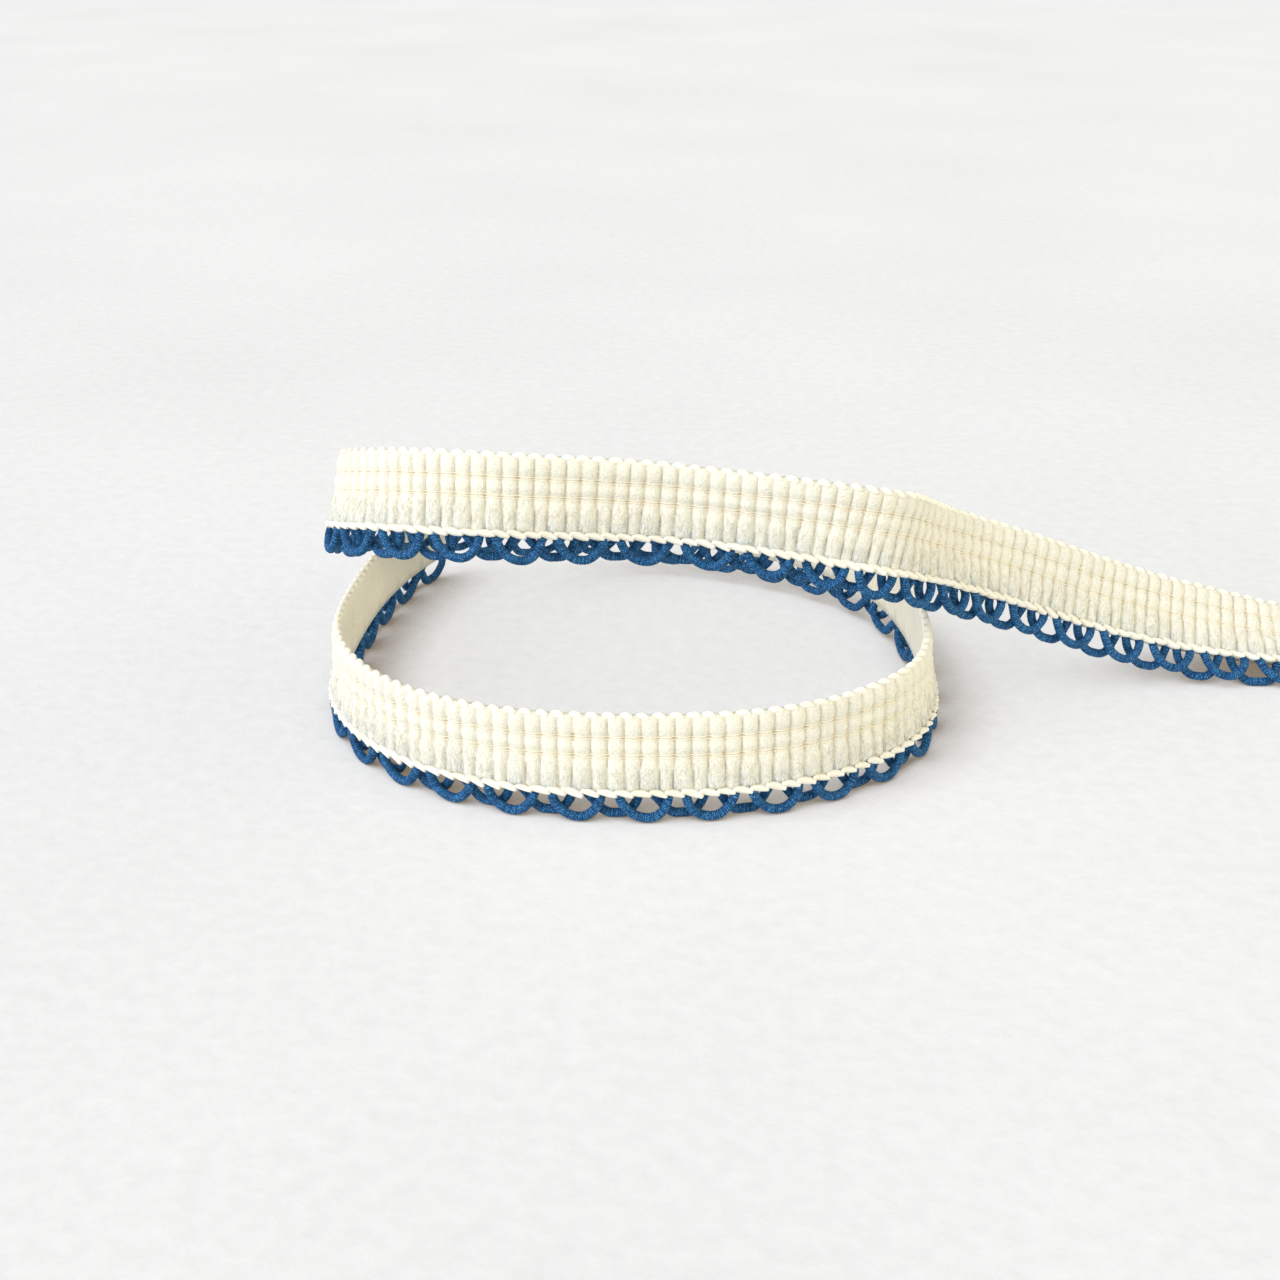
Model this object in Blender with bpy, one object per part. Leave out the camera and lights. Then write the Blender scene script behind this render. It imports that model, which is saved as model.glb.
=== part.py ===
"""A length of ribbed piping trim, laid on edge in one and a half turns.

A cream tape of upright ribs carries two blue gimp cords, which hang from its
lower edge as overlapping loops. The loops stand on the table. The first turn
lies level, and the second climbs over it and runs down again to a loose tail.

Millimetres are turned into metres as each mesh is made. +Z is up, and the
origin is the middle of the trim's box, on the table.
"""

from typing import NamedTuple

import bmesh
import bpy
import numpy as np

MM = 0.001

# Pitches along the trim
RIB_PITCH = 2.0
RIBS = 222
RIBS_PER_LOOP = 4
SAMPLES = 1600

# Heights measured down the trim from its upper edge
TRIM_WIDTH = 14.35
TAPE_WIDTH = 10.6
BEAD_RISE = 0.45

# The gimp cord
GIMP_DIAMETER = 1.2
GIMP_OFFSET = 0.78
FOOT_PRESS = 0.12
END_CLEARANCE = 1.0

# The trim's box is centred on the origin by this move of the route
CENTRE_X = 0.9300
CENTRE_Y = -0.4816


class Station(NamedTuple):
    """One control point of the line where the loops end, and the tape's lean back there in degrees."""

    x: float
    y: float
    z: float
    lean: float


ROUTE = (
    # free end, tucked in behind
    Station(-46.5, 55.5, 0, 16),
    Station(-60, 41, 0, 13),
    # first turn, level on the table
    Station(-67, 21.5, 0, 10),
    Station(-68.5, 4.5, 0, 6),
    Station(-69, -14.5, 0, 2),
    Station(-58, -29.5, 0, -1),
    Station(-42.5, -37, 0, 2),
    Station(-24.5, -38.5, 0, 5),
    Station(-7, -36, 0, 0),
    Station(10, -24.5, 0, 3),
    Station(13, -9, 0, 6),
    Station(12.5, 12, 0, 5),
    # second turn, climbing round the back
    Station(5, 26.5, 1.5, 2),
    Station(-15.5, 38, 1.5, -2),
    Station(-34, 40.3, 3, -2),
    Station(-49, 27.5, 7.5, 0),
    Station(-60.5, 15.5, 14.2, 1),
    Station(-73.5, 0, 19.4, 9),
    # near side, in the air above the first turn
    Station(-59.5, -17.5, 26, 25),
    Station(-43, -18.5, 25.4, 6),
    Station(-24, -12, 23.5, -6),
    Station(-5.5, -18.5, 23, -3),
    Station(6, -20.3, 20.6, 16),
    # tail, running down to the table
    Station(17, -8.3, 13.6, 23),
    Station(33, -4, 6.4, 28),
    Station(49, -1, 1, 41),
    Station(69, -4, 0, 63),
    Station(85.5, 2, 0, 70),
)


class Level(NamedTuple):
    """One row of points across the tape: how far down it is, and how far it stands off the middle."""

    down: float
    at_rib: float
    at_groove: float


FACE_LEVELS = (
    Level(0.9, 0.80, 0.50),
    Level(5.4, 0.60, 0.30),
    Level(8.2, 1.00, 0.55),
    Level(TAPE_WIDTH, 0.40, 0.30),
)
BACK_LEVELS = (
    Level(TAPE_WIDTH, -0.50, -0.50),
    Level(0.9, -0.60, -0.60),
)


class LoopPoint(NamedTuple):
    """One point of a gimp loop: along the trim from the loop's left leg, and down from its top."""

    along: float
    down: float


LOOP = (
    LoopPoint(0.4, 0.35),
    LoopPoint(1.0, 1.15),
    LoopPoint(1.8, 1.85),
    LoopPoint(3.0, 2.25),
    LoopPoint(4.0, 2.25),
    LoopPoint(4.9, 1.8),
    LoopPoint(5.5, 1.05),
    LoopPoint(5.85, 0.2),
    LoopPoint(7.1, 0.0),
)
LOOP_DEPTH = 2.25
FRONT_START = -2.65
BACK_START = FRONT_START + 0.5 * RIBS_PER_LOOP * RIB_PITCH


def b_spline(rows, samples):
    """Points of the uniform cubic B-spline that the rows control, one line of each for each sample."""
    control = np.array(rows, float)
    spans = len(control) - 3
    where = np.linspace(0.0, spans, samples)
    span = np.minimum(where.astype(int), spans - 1)
    t = (where - span)[:, None]
    weights = (
        (1 - t) ** 3,
        3 * t**3 - 6 * t**2 + 4,
        -3 * t**3 + 3 * t**2 + 3 * t + 1,
        t**3,
    )
    return sum(weight * control[span + k] for k, weight in enumerate(weights)) / 6


def unit(vectors):
    """The vectors at length one."""
    return vectors / np.linalg.norm(vectors, axis=1)[:, None]


class Route:
    """The trim's path: its upper edge, and at each place the directions along, outwards and down."""

    def __init__(self):
        line = b_spline(ROUTE, SAMPLES)
        foot = line[:, :3] + np.array([CENTRE_X, CENTRE_Y, 0.0])
        lean = np.radians(line[:, 3])[:, None]
        along = unit(np.gradient(foot, axis=0))
        level_out = unit(np.cross(along, [0.0, 0.0, 1.0]))
        upright = np.cross(level_out, along)
        up = np.cos(lean) * upright - np.sin(lean) * level_out
        self.down = -up
        self.out = np.cos(lean) * level_out + np.sin(lean) * upright
        self.edge = foot + TRIM_WIDTH * up
        steps = np.linalg.norm(np.diff(self.edge, axis=0), axis=1)
        length = np.concatenate([[0.0], np.cumsum(steps)])
        self.length = length * RIBS * RIB_PITCH / length[-1]

    def read(self, table, along):
        """One table's values at a distance along the trim."""
        return np.array([np.interp(along, self.length, table[:, k]) for k in range(3)])

    def point(self, along, down, out):
        """The place of a point given along the trim, down from its upper edge and out from its middle."""
        edge = self.read(self.edge, along)
        return edge + down * self.read(self.down, along) + out * self.read(self.out, along)


def skin(rings):
    """A closed mesh through rings of points that all have the same count."""
    mesh = bmesh.new()
    made = [[mesh.verts.new(point * MM) for point in ring] for ring in rings]
    count = len(made[0])
    for one, two in zip(made, made[1:]):
        for k in range(count):
            after = (k + 1) % count
            mesh.faces.new((one[k], one[after], two[after], two[k]))
    mesh.faces.new(list(reversed(made[0])))
    mesh.faces.new(made[-1])
    bmesh.ops.triangulate(mesh, faces=mesh.faces[:])
    bmesh.ops.recalc_face_normals(mesh, faces=mesh.faces[:])
    return mesh


def tape_rings(route):
    """Sections of the ribbed tape, one on each groove and one on each rib."""
    rings = []
    for half in range(2 * RIBS + 1):
        along = half * RIB_PITCH / 2
        on_rib = half % 2 == 1
        ring = [route.point(along, BEAD_RISE if on_rib else 0.0, 0.0)]
        for level in FACE_LEVELS + BACK_LEVELS:
            out = level.at_rib if on_rib else level.at_groove
            ring.append(route.point(along, level.down, out))
        rings.append(ring)
    return rings


def gimp_rings(route, start, offset):
    """Square sections of one gimp cord, which runs in loops under the tape's lower edge."""
    radius = GIMP_DIAMETER / 2
    top = TRIM_WIDTH - radius - LOOP_DEPTH
    pitch = RIBS_PER_LOOP * RIB_PITCH
    length = RIBS * RIB_PITCH
    centres = []
    turn = 0
    while turn * pitch + start < length:
        for point in LOOP:
            along = start + turn * pitch + point.along
            if END_CLEARANCE < along < length - END_CLEARANCE:
                centres.append((along, top + point.down))
        turn += 1
    flat = np.array(centres)
    across = np.gradient(flat, axis=0)
    across = unit(np.column_stack([-across[:, 1], across[:, 0]]))
    rings = []
    for centre, side in zip(flat, across):
        ring = []
        for in_plane, outward in ((-1, -1), (-1, 1), (1, 1), (1, -1)):
            spot = centre + in_plane * radius * side
            point = route.point(spot[0], spot[1], offset + outward * radius)
            point[2] = max(point[2] - FOOT_PRESS, 0.0)
            ring.append(point)
        rings.append(ring)
    return rings


def yarn(name, colour, roughness):
    """A plain yarn material."""
    material = bpy.data.materials.new(name)
    material.use_nodes = True
    shader = material.node_tree.nodes["Principled BSDF"]
    shader.inputs["Base Color"].default_value = (*colour, 1.0)
    shader.inputs["Roughness"].default_value = roughness
    shader.inputs["Metallic"].default_value = 0.0
    return material


def add_piece(name, rings, material):
    """Puts one closed piece of the trim in the scene."""
    data = bpy.data.meshes.new(name)
    mesh = skin(rings)
    mesh.to_mesh(data)
    mesh.free()
    data.materials.append(material)
    piece = bpy.data.objects.new(name, data)
    bpy.context.scene.collection.objects.link(piece)
    return piece


def main():
    """Clears the scene and builds the tape and its two gimp cords."""
    for old in list(bpy.data.objects):
        bpy.data.objects.remove(old, do_unlink=True)
    route = Route()
    cream = yarn("cream_cotton", (0.90, 0.86, 0.71), 0.85)
    blue = yarn("blue_rayon", (0.03, 0.11, 0.30), 0.45)
    deep_blue = yarn("blue_rayon_behind", (0.02, 0.08, 0.22), 0.5)
    add_piece("ribbed_tape", tape_rings(route), cream)
    add_piece("gimp_front", gimp_rings(route, FRONT_START, GIMP_OFFSET), blue)
    add_piece("gimp_back", gimp_rings(route, BACK_START, -GIMP_OFFSET), deep_blue)


main()
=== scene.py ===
"""The finished look of a length of ribbed piping trim, laid on edge in a rising coil.

The trim is dressed in its own measure: a distance along it, a distance down from
its upper edge, and a distance out from its middle towards the ribbed face. All
three are in millimetres, and the Route turns them into places in metres.
"""

import logging
import math
from dataclasses import dataclass
from enum import Enum
from typing import NamedTuple

import bpy
import numpy as np
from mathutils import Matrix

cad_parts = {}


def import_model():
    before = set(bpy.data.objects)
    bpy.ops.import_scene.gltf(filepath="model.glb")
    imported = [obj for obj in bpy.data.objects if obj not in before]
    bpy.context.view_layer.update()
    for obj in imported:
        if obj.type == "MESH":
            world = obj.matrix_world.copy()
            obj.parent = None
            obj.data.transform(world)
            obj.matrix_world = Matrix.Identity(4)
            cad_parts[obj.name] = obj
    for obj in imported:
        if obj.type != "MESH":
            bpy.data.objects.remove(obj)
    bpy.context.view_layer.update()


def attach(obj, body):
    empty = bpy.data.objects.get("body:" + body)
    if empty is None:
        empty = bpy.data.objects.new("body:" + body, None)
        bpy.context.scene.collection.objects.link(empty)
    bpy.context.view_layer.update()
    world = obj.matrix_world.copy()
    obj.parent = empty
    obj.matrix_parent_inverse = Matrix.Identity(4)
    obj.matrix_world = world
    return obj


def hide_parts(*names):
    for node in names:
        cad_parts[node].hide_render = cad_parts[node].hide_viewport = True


LOG = logging.getLogger("trim")
MM = 0.001

Material = bpy.types.Material
Object = bpy.types.Object
Socket = bpy.types.NodeSocket
Colour = tuple[float, float, float, float]

# Where something starts and where it is full
Span = tuple[float, float]

# A value's low and high, and the brightness at each
Tone = tuple[float, float, float, float]

# How deep red, green and blue light go into cotton, for its own measure of depth
COTTON_DEPTHS = (1.0, 0.75, 0.45)


# Measures shared by the pieces


@dataclass(frozen=True)
class Gauge:
    """The trim's driving sizes in millimetres, as the solid model has them."""

    rib_pitch: float = 2.0
    ribs: int = 222
    ribs_per_loop: int = 4
    width: float = 14.35
    tape_width: float = 10.6
    front_start: float = -2.65
    centre_x: float = 0.9300
    centre_y: float = -0.4816

    @property
    def length(self) -> float:
        """The trim's length."""
        return self.ribs * self.rib_pitch

    @property
    def loop_pitch(self) -> float:
        """The distance from one gimp loop to the next."""
        return self.ribs_per_loop * self.rib_pitch


GAUGE = Gauge()

# Control points of the line where the loops end: x, y and z in millimetres, and how far the tape
# leans back there in degrees
STATIONS: tuple[tuple[float, float, float, float], ...] = (
    (-46.5, 55.5, 0, 16),
    (-60, 41, 0, 13),
    (-67, 21.5, 0, 10),
    (-68.5, 4.5, 0, 6),
    (-69, -14.5, 0, 2),
    (-58, -29.5, 0, -1),
    (-42.5, -37, 0, 2),
    (-24.5, -38.5, 0, 5),
    (-7, -36, 0, 0),
    (10, -24.5, 0, 3),
    (13, -9, 0, 6),
    (12.5, 12, 0, 5),
    (5, 26.5, 1.5, 2),
    (-15.5, 38, 1.5, -2),
    (-34, 40.3, 3, -2),
    (-49, 27.5, 7.5, 0),
    (-60.5, 15.5, 14.2, 1),
    (-73.5, 0, 19.4, 9),
    (-59.5, -17.5, 26, 25),
    (-43, -18.5, 25.4, 6),
    (-24, -12, 23.5, -6),
    (-5.5, -18.5, 23, -3),
    (6, -20.3, 20.6, 16),
    (17, -8.3, 13.6, 23),
    (33, -4, 6.4, 28),
    (49, -1, 1, 41),
    (69, -4, 0, 63),
    (85.5, 2, 0, 70),
)


def unit(vectors: np.ndarray) -> np.ndarray:
    """The vectors at length one."""
    return vectors / np.linalg.norm(vectors, axis=-1, keepdims=True)


def smoothstep(low: float, high: float, value: np.ndarray) -> np.ndarray:
    """A soft step from 0 at low to 1 at high."""
    t = np.clip((value - low) / (high - low), 0.0, 1.0)
    return t * t * (3 - 2 * t)


def bell(away: np.ndarray, width: float) -> np.ndarray:
    """A soft hump: 1 at its middle, and about a third of that a width away."""
    return np.exp(-((away / width) ** 2))


class Band(NamedTuple):
    """A stretch of distances down the trim, over which something comes in."""

    start: float
    end: float

    def share(self, down: np.ndarray) -> np.ndarray:
        """How far it has come in at a distance down, from 0 to 1."""
        return smoothstep(self.start, self.end, down)


class Route:
    """The trim's path through space."""

    def __init__(self, gauge: Gauge, samples: int = 1600) -> None:
        """Works out the upper edge and the directions along, out and down at each sample.

        Args:
            gauge: the trim's sizes.
            samples: how finely the path is sampled.
        """
        line = self._b_spline(np.array(STATIONS, float), samples)
        foot = line[:, :3] + np.array([gauge.centre_x, gauge.centre_y, 0.0])
        lean = np.radians(line[:, 3])[:, None]
        self.along = unit(np.gradient(foot, axis=0))
        level_out = unit(np.cross(self.along, [0.0, 0.0, 1.0]))
        upright = np.cross(level_out, self.along)
        self.up = np.cos(lean) * upright - np.sin(lean) * level_out
        self.out = np.cos(lean) * level_out + np.sin(lean) * upright
        self.edge = foot + gauge.width * self.up
        steps = np.linalg.norm(np.diff(self.edge, axis=0), axis=1)
        length = np.concatenate([[0.0], np.cumsum(steps)])
        self.length = length * gauge.length / length[-1]

    @staticmethod
    def _b_spline(control: np.ndarray, samples: int) -> np.ndarray:
        """Points of the uniform cubic B-spline that the control rows shape.

        Args:
            control: one row for each control point.
            samples: how many points to give.

        Returns:
            One row for each sample.
        """
        spans = len(control) - 3
        where = np.linspace(0.0, spans, samples)
        span = np.minimum(where.astype(int), spans - 1)
        t = (where - span)[:, None]
        weights = ((1 - t) ** 3, 3 * t**3 - 6 * t**2 + 4, -3 * t**3 + 3 * t**2 + 3 * t + 1, t**3)
        return sum(weight * control[span + k] for k, weight in enumerate(weights)) / 6

    def read(self, table: np.ndarray, along: np.ndarray) -> np.ndarray:
        """One table's vectors at distances along the trim."""
        return np.stack([np.interp(along, self.length, table[:, k]) for k in range(3)], axis=-1)

    def place(self, along: np.ndarray, down: np.ndarray, out: np.ndarray) -> np.ndarray:
        """Places in metres of points given in the trim's own measure.

        Args:
            along: distances along the trim, in millimetres.
            down: distances down from the upper edge.
            out: distances out from the middle towards the ribbed face.

        Returns:
            The places, with one more axis of three than the arguments.
        """
        along, down, out = np.broadcast_arrays(along, down, out)
        spot = self.read(self.edge, along)
        spot = spot - down[..., None] * self.read(self.up, along)
        return (spot + out[..., None] * self.read(self.out, along)) * MM


# Mesh helpers

# A direction that no stitch runs in, to turn its sections by
ACROSS = (0.13, 0.21, 0.97)


def mesh_object(name: str, points: np.ndarray, faces: list, material: Material) -> Object:
    """A mesh object in the scene, shaded smooth.

    Args:
        name: the piece's name.
        points: its points in metres.
        faces: tuples of point numbers.
        material: its finish.

    Returns:
        The new object.
    """
    data = bpy.data.meshes.new(name)
    data.from_pydata(points.reshape(-1, 3).tolist(), [], faces)
    data.materials.append(material)
    data.shade_smooth()
    piece = bpy.data.objects.new(name, data)
    bpy.context.scene.collection.objects.link(piece)
    return piece


def grid_faces(rows: int, columns: int) -> list[tuple[int, ...]]:
    """Faces of a tube of closed rings, with its two ends closed.

    Args:
        rows: how many rings follow each other.
        columns: how many points each ring has.

    Returns:
        The faces, for points stored ring by ring.
    """
    first = np.arange(rows - 1)[:, None] * columns + np.arange(columns)
    after = np.arange(rows - 1)[:, None] * columns + (np.arange(columns) + 1) % columns
    quads = np.stack([first, after, after + columns, first + columns], axis=-1).reshape(-1, 4)
    faces = [tuple(quad) for quad in quads.tolist()]
    faces.append(tuple(range(columns - 1, -1, -1)))
    faces.append(tuple(range((rows - 1) * columns, rows * columns)))
    return faces


def tapered_tube(
    centres: np.ndarray, radii: np.ndarray, sides: int
) -> tuple[np.ndarray, list[tuple[int, ...]]]:
    """A closed tube through a few centres.

    Args:
        centres: the points that it follows.
        radii: its radius at each.
        sides: how many sides it has.

    Returns:
        Its points and its faces.
    """
    along = unit(np.gradient(centres, axis=0))
    side = unit(np.cross(along, ACROSS))
    over = np.cross(along, side)
    turn = np.linspace(0, 2 * np.pi, sides, endpoint=False)[:, None]
    ring = np.cos(turn) * side[:, None] + np.sin(turn) * over[:, None]
    points = centres[:, None] + radii[:, None, None] * ring
    return points.reshape(-1, 3), grid_faces(len(centres), sides)


def face_outwards(piece: Object) -> None:
    """Turns a closed mesh's faces outwards if they point in.

    Args:
        piece: the object, whose mesh is closed.
    """
    data = piece.data
    data.calc_loop_triangles()
    points = np.empty(len(data.vertices) * 3, np.float32)
    data.vertices.foreach_get("co", points)
    corners = np.empty(len(data.loop_triangles) * 3, np.int32)
    data.loop_triangles.foreach_get("vertices", corners)
    a, b, c = points.reshape(-1, 3)[corners.reshape(-1, 3)].astype(float).transpose(1, 0, 2)
    if (a * np.cross(b, c)).sum() < 0:
        data.flip_normals()


def point_values(piece: Object, name: str, values: np.ndarray) -> None:
    """Stores one number for each point of a mesh."""
    layer = piece.data.attributes.new(name, "FLOAT", "POINT")
    layer.data.foreach_set("value", values.astype(np.float32).ravel())


def point_vectors(piece: Object, name: str, values: np.ndarray) -> None:
    """Stores one vector for each point of a mesh."""
    layer = piece.data.attributes.new(name, "FLOAT_VECTOR", "POINT")
    layer.data.foreach_set("vector", values.astype(np.float32).ravel())


# Node trees


class Nodes:
    """A node tree that is built in order."""

    def __init__(self, tree: bpy.types.NodeTree) -> None:
        """Starts on a tree."""
        self.tree = tree

    def node(self, kind: str, links: dict | None = None, **settings: object) -> bpy.types.Node:
        """Adds a node.

        Args:
            kind: the node's type.
            links: input name or number, to a socket or a plain value.
            settings: the node's own properties.

        Returns:
            The node.
        """
        made = self.tree.nodes.new(kind)
        for key, value in settings.items():
            setattr(made, key, value)
        for key, value in (links or {}).items():
            if isinstance(value, Socket):
                self.tree.links.new(value, made.inputs[key])
            else:
                made.inputs[key].default_value = value
        return made

    def math(self, operation: str, first: object, second: object = 0.0) -> Socket:
        """Two values through a named operation."""
        return self.node("ShaderNodeMath", {0: first, 1: second}, operation=operation).outputs[0]

    def mix(self, factor: object, first: object, second: object, blend: str = "MIX") -> Socket:
        """Mixes two colours."""
        links = {0: factor, 6: first, 7: second}
        return self.node("ShaderNodeMix", links, data_type="RGBA", blend_type=blend).outputs[2]

    def spread(
        self,
        value: Socket,
        low: float,
        high: float,
        first: float = 0.0,
        last: float = 1.0,
        **settings: object,
    ) -> Socket:
        """Maps one range of a value onto another.

        Args:
            value: the value.
            low: where its range starts.
            high: where its range ends.
            first: what low becomes.
            last: what high becomes.
            settings: the node's own properties.

        Returns:
            The mapped value, which stays between first and last.
        """
        links = {0: value, 1: low, 2: high, 3: first, 4: last}
        return self.node("ShaderNodeMapRange", links, **settings).outputs[0]


class NodeTree(Nodes):
    """A Geometry Nodes tree with named inputs."""

    def __init__(self, name: str) -> None:
        """Starts a tree that takes and gives one geometry.

        Args:
            name: the tree's name.
        """
        super().__init__(bpy.data.node_groups.new(name, "GeometryNodeTree"))
        for way in ("INPUT", "OUTPUT"):
            self.tree.interface.new_socket("Geometry", in_out=way, socket_type="NodeSocketGeometry")
        self.inputs = self.tree.nodes.new("NodeGroupInput")
        self.output = self.tree.nodes.new("NodeGroupOutput")
        self.values: dict[str, object] = {}

    @property
    def carried(self) -> Socket:
        """The geometry of the object that carries the tree."""
        return self.inputs.outputs["Geometry"]

    def add_input(self, name: str, kind: str, value: object) -> Socket:
        """Adds a named input with its value.

        Args:
            name: the input's name.
            kind: its socket type.
            value: what the modifier sets it to.

        Returns:
            The socket inside the tree.
        """
        item = self.tree.interface.new_socket(name, in_out="INPUT", socket_type=kind)
        self.values[item.identifier] = value
        return self.inputs.outputs[name]

    def attribute(self, name: str, kind: str = "FLOAT") -> Socket:
        """Reads a named attribute."""
        made = self.node("GeometryNodeInputNamedAttribute", {"Name": name}, data_type=kind)
        return made.outputs["Attribute"]

    def store(self, geometry: Socket, name: str, value: Socket) -> Socket:
        """Stores a number on each point of a geometry.

        Args:
            geometry: the geometry.
            name: the attribute's name.
            value: the number.

        Returns:
            The geometry with the attribute.
        """
        links = {"Geometry": geometry, "Name": name, "Value": value}
        kinds = {"data_type": "FLOAT", "domain": "POINT"}
        return self.node("GeometryNodeStoreNamedAttribute", links, **kinds).outputs[0]

    def finish(self, geometry: Socket, material: Socket) -> None:
        """Ends the tree in Realize Instances and Set Material.

        Args:
            geometry: what the tree has made.
            material: its finish.
        """
        real = self.node("GeometryNodeRealizeInstances", {"Geometry": geometry}).outputs[0]
        smooth = self.node("GeometryNodeSetShadeSmooth", {"Geometry": real}).outputs[0]
        links = {"Geometry": smooth, "Material": material}
        dressed = self.node("GeometryNodeSetMaterial", links)
        self.tree.links.new(dressed.outputs[0], self.output.inputs[0])

    def bake(self, carrier: Object, name: str) -> Object:
        """Runs the tree on a carrier and keeps the result as a plain mesh.

        Args:
            carrier: the object whose mesh the tree reads. It is removed.
            name: the finished piece's name.

        Returns:
            The finished piece.
        """
        modifier = carrier.modifiers.new("build", "NODES")
        modifier.node_group = self.tree
        for identifier, value in self.values.items():
            modifier[identifier] = value
        graph = bpy.context.evaluated_depsgraph_get()
        data = bpy.data.meshes.new_from_object(carrier.evaluated_get(graph), depsgraph=graph)
        carrier.modifiers.remove(modifier)
        bpy.data.objects.remove(carrier, do_unlink=True)
        data.name = name
        piece = bpy.data.objects.new(name, data)
        bpy.context.scene.collection.objects.link(piece)
        return piece


# Finishes


class ShaderNodes(Nodes):
    """A material's nodes."""

    def __init__(self, name: str) -> None:
        """Starts a material with a Principled shader.

        Args:
            name: the material's name.
        """
        self.material = bpy.data.materials.new(name)
        self.material.use_nodes = True
        super().__init__(self.material.node_tree)
        self.shader = self.tree.nodes["Principled BSDF"]

    def ramp(self, value: Socket, low: float, high: float) -> Socket:
        """A value brought softly to 0 at low and 1 at high."""
        return self.spread(value, low, high, interpolation_type="SMOOTHSTEP")

    def blend(self, first: Socket, second: Socket, share: float) -> Socket:
        """The first value by its share, and the second by the rest."""
        first = self.math("MULTIPLY", first, share)
        return self.math("ADD", first, self.math("MULTIPLY", second, 1 - share))

    def tone(self, base: Socket, value: Socket, tone: Tone) -> Socket:
        """A colour that a value makes darker and lighter."""
        return self.mix(1.0, base, self.spread(value, *tone), "MULTIPLY")

    def attribute(self, name: str, output: str = "Fac") -> Socket:
        """Reads a named attribute."""
        return self.node("ShaderNodeAttribute", attribute_name=name).outputs[output]

    def coordinates(self) -> Socket:
        """The place on the object."""
        return self.node("ShaderNodeTexCoord").outputs["Object"]

    def noise(self, scale: float, detail: float = 2.0, vector: Socket | None = None) -> Socket:
        """A noise.

        Args:
            scale: how fine it is.
            detail: how many finer noises lie in it.
            vector: what it runs on, or None for the place on the object.

        Returns:
            The noise, from 0 to 1.
        """
        if vector is None:
            vector = self.coordinates()
        links = {"Vector": vector, "Scale": scale, "Detail": detail}
        return self.node("ShaderNodeTexNoise", links).outputs[0]

    def bump(self, height: Socket, strength: float, distance: float) -> None:
        """Raises the shader's surface by a height.

        Args:
            height: the height, from 0 to 1.
            strength: how much of it shows.
            distance: how far it raises the surface, in metres.
        """
        links = {"Height": height, "Strength": strength, "Distance": distance}
        made = self.node("ShaderNodeBump", links)
        self.tree.links.new(made.outputs[0], self.shader.inputs["Normal"])

    def colour(self, socket: Socket) -> None:
        """Sets the shader's colour."""
        self.tree.links.new(socket, self.shader.inputs["Base Color"])

    def set(self, **values: object) -> None:
        """Sets plain values on the shader, with underscores for spaces."""
        for key, value in values.items():
            self.shader.inputs[key.replace("_", " ")].default_value = value


@dataclass(frozen=True)
class CreamYarn:
    """Soft unbleached cotton, with warm painted shade in its grooves, its binding creases and its
    back, and painted shadow in its slits.
    """

    name: str
    crest: Colour = (0.80, 0.78, 0.65, 1.0)
    # Painted shade: the warm, darker colour of the tape where its grooves, binding creases and back
    # lie in shade
    hollow: Colour = (0.74, 0.62, 0.38, 1.0)
    shadow_tint: Colour = (0.36, 0.44, 0.48, 1.0)
    # Painted shadow: the near black of the slits where a cord turns in
    slit: Colour = (0.10, 0.10, 0.085, 1.0)
    detail: float = 3.0
    fibre_pull: tuple[float, float] = (2.6, 0.35)
    fibre_scale: float = 2.2
    fibre_share: float = 0.3
    veil_span: Span = (0.40, 0.62)
    mottle_scale: float = 160.0
    mottle_tone: Tone = (0.3, 0.7, 0.95, 1.03)
    fuzz_scale: float = 3600.0
    fuzz_tone: Tone = (0.36, 0.64, 0.91, 1.05)
    fuzz_height: float = 0.00030
    fuzz_strength: float = 1.0

    def material(self) -> Material:
        """Makes the finish, which reads the tape's own attributes.

        Returns:
            The material.
        """
        nodes = ShaderNodes(self.name)
        place = nodes.node("ShaderNodeSeparateXYZ", {0: nodes.attribute("measure", "Vector")})
        pulled = {
            axis: nodes.math("MULTIPLY", place.outputs[axis], pull)
            for axis, pull in enumerate(self.fibre_pull)
        }
        stretched = nodes.node("ShaderNodeCombineXYZ", pulled).outputs[0]
        fibre = nodes.noise(self.fibre_scale, self.detail, stretched)
        # Painted shade: the tape's hollow attribute mixes in the shade colour, most in the grooves
        # and binding creases
        base = nodes.mix(nodes.attribute("hollow"), self.crest, self.hollow)
        patches = nodes.ramp(fibre, *self.veil_span)
        veil = nodes.math("MULTIPLY", nodes.attribute("veil"), patches)
        base = nodes.mix(veil, base, self.shadow_tint)
        # Painted shadow: the slits at the back are only darkened here, not opened
        base = nodes.mix(nodes.attribute("slit"), base, self.slit)
        base = nodes.tone(base, nodes.noise(self.mottle_scale, self.detail), self.mottle_tone)
        fuzz = nodes.noise(self.fuzz_scale, self.detail)
        fuzz = nodes.blend(fibre, fuzz, self.fibre_share)
        nodes.colour(nodes.tone(base, fuzz, self.fuzz_tone))
        nodes.bump(fuzz, self.fuzz_strength, self.fuzz_height)
        nodes.set(Roughness=0.88, Specular_IOR_Level=0.25, Sheen_Weight=0.25, Sheen_Roughness=0.5)
        nodes.set(Subsurface_Weight=0.12, Subsurface_Scale=0.0008)
        nodes.set(Subsurface_Radius=COTTON_DEPTHS)
        return nodes.material


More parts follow.
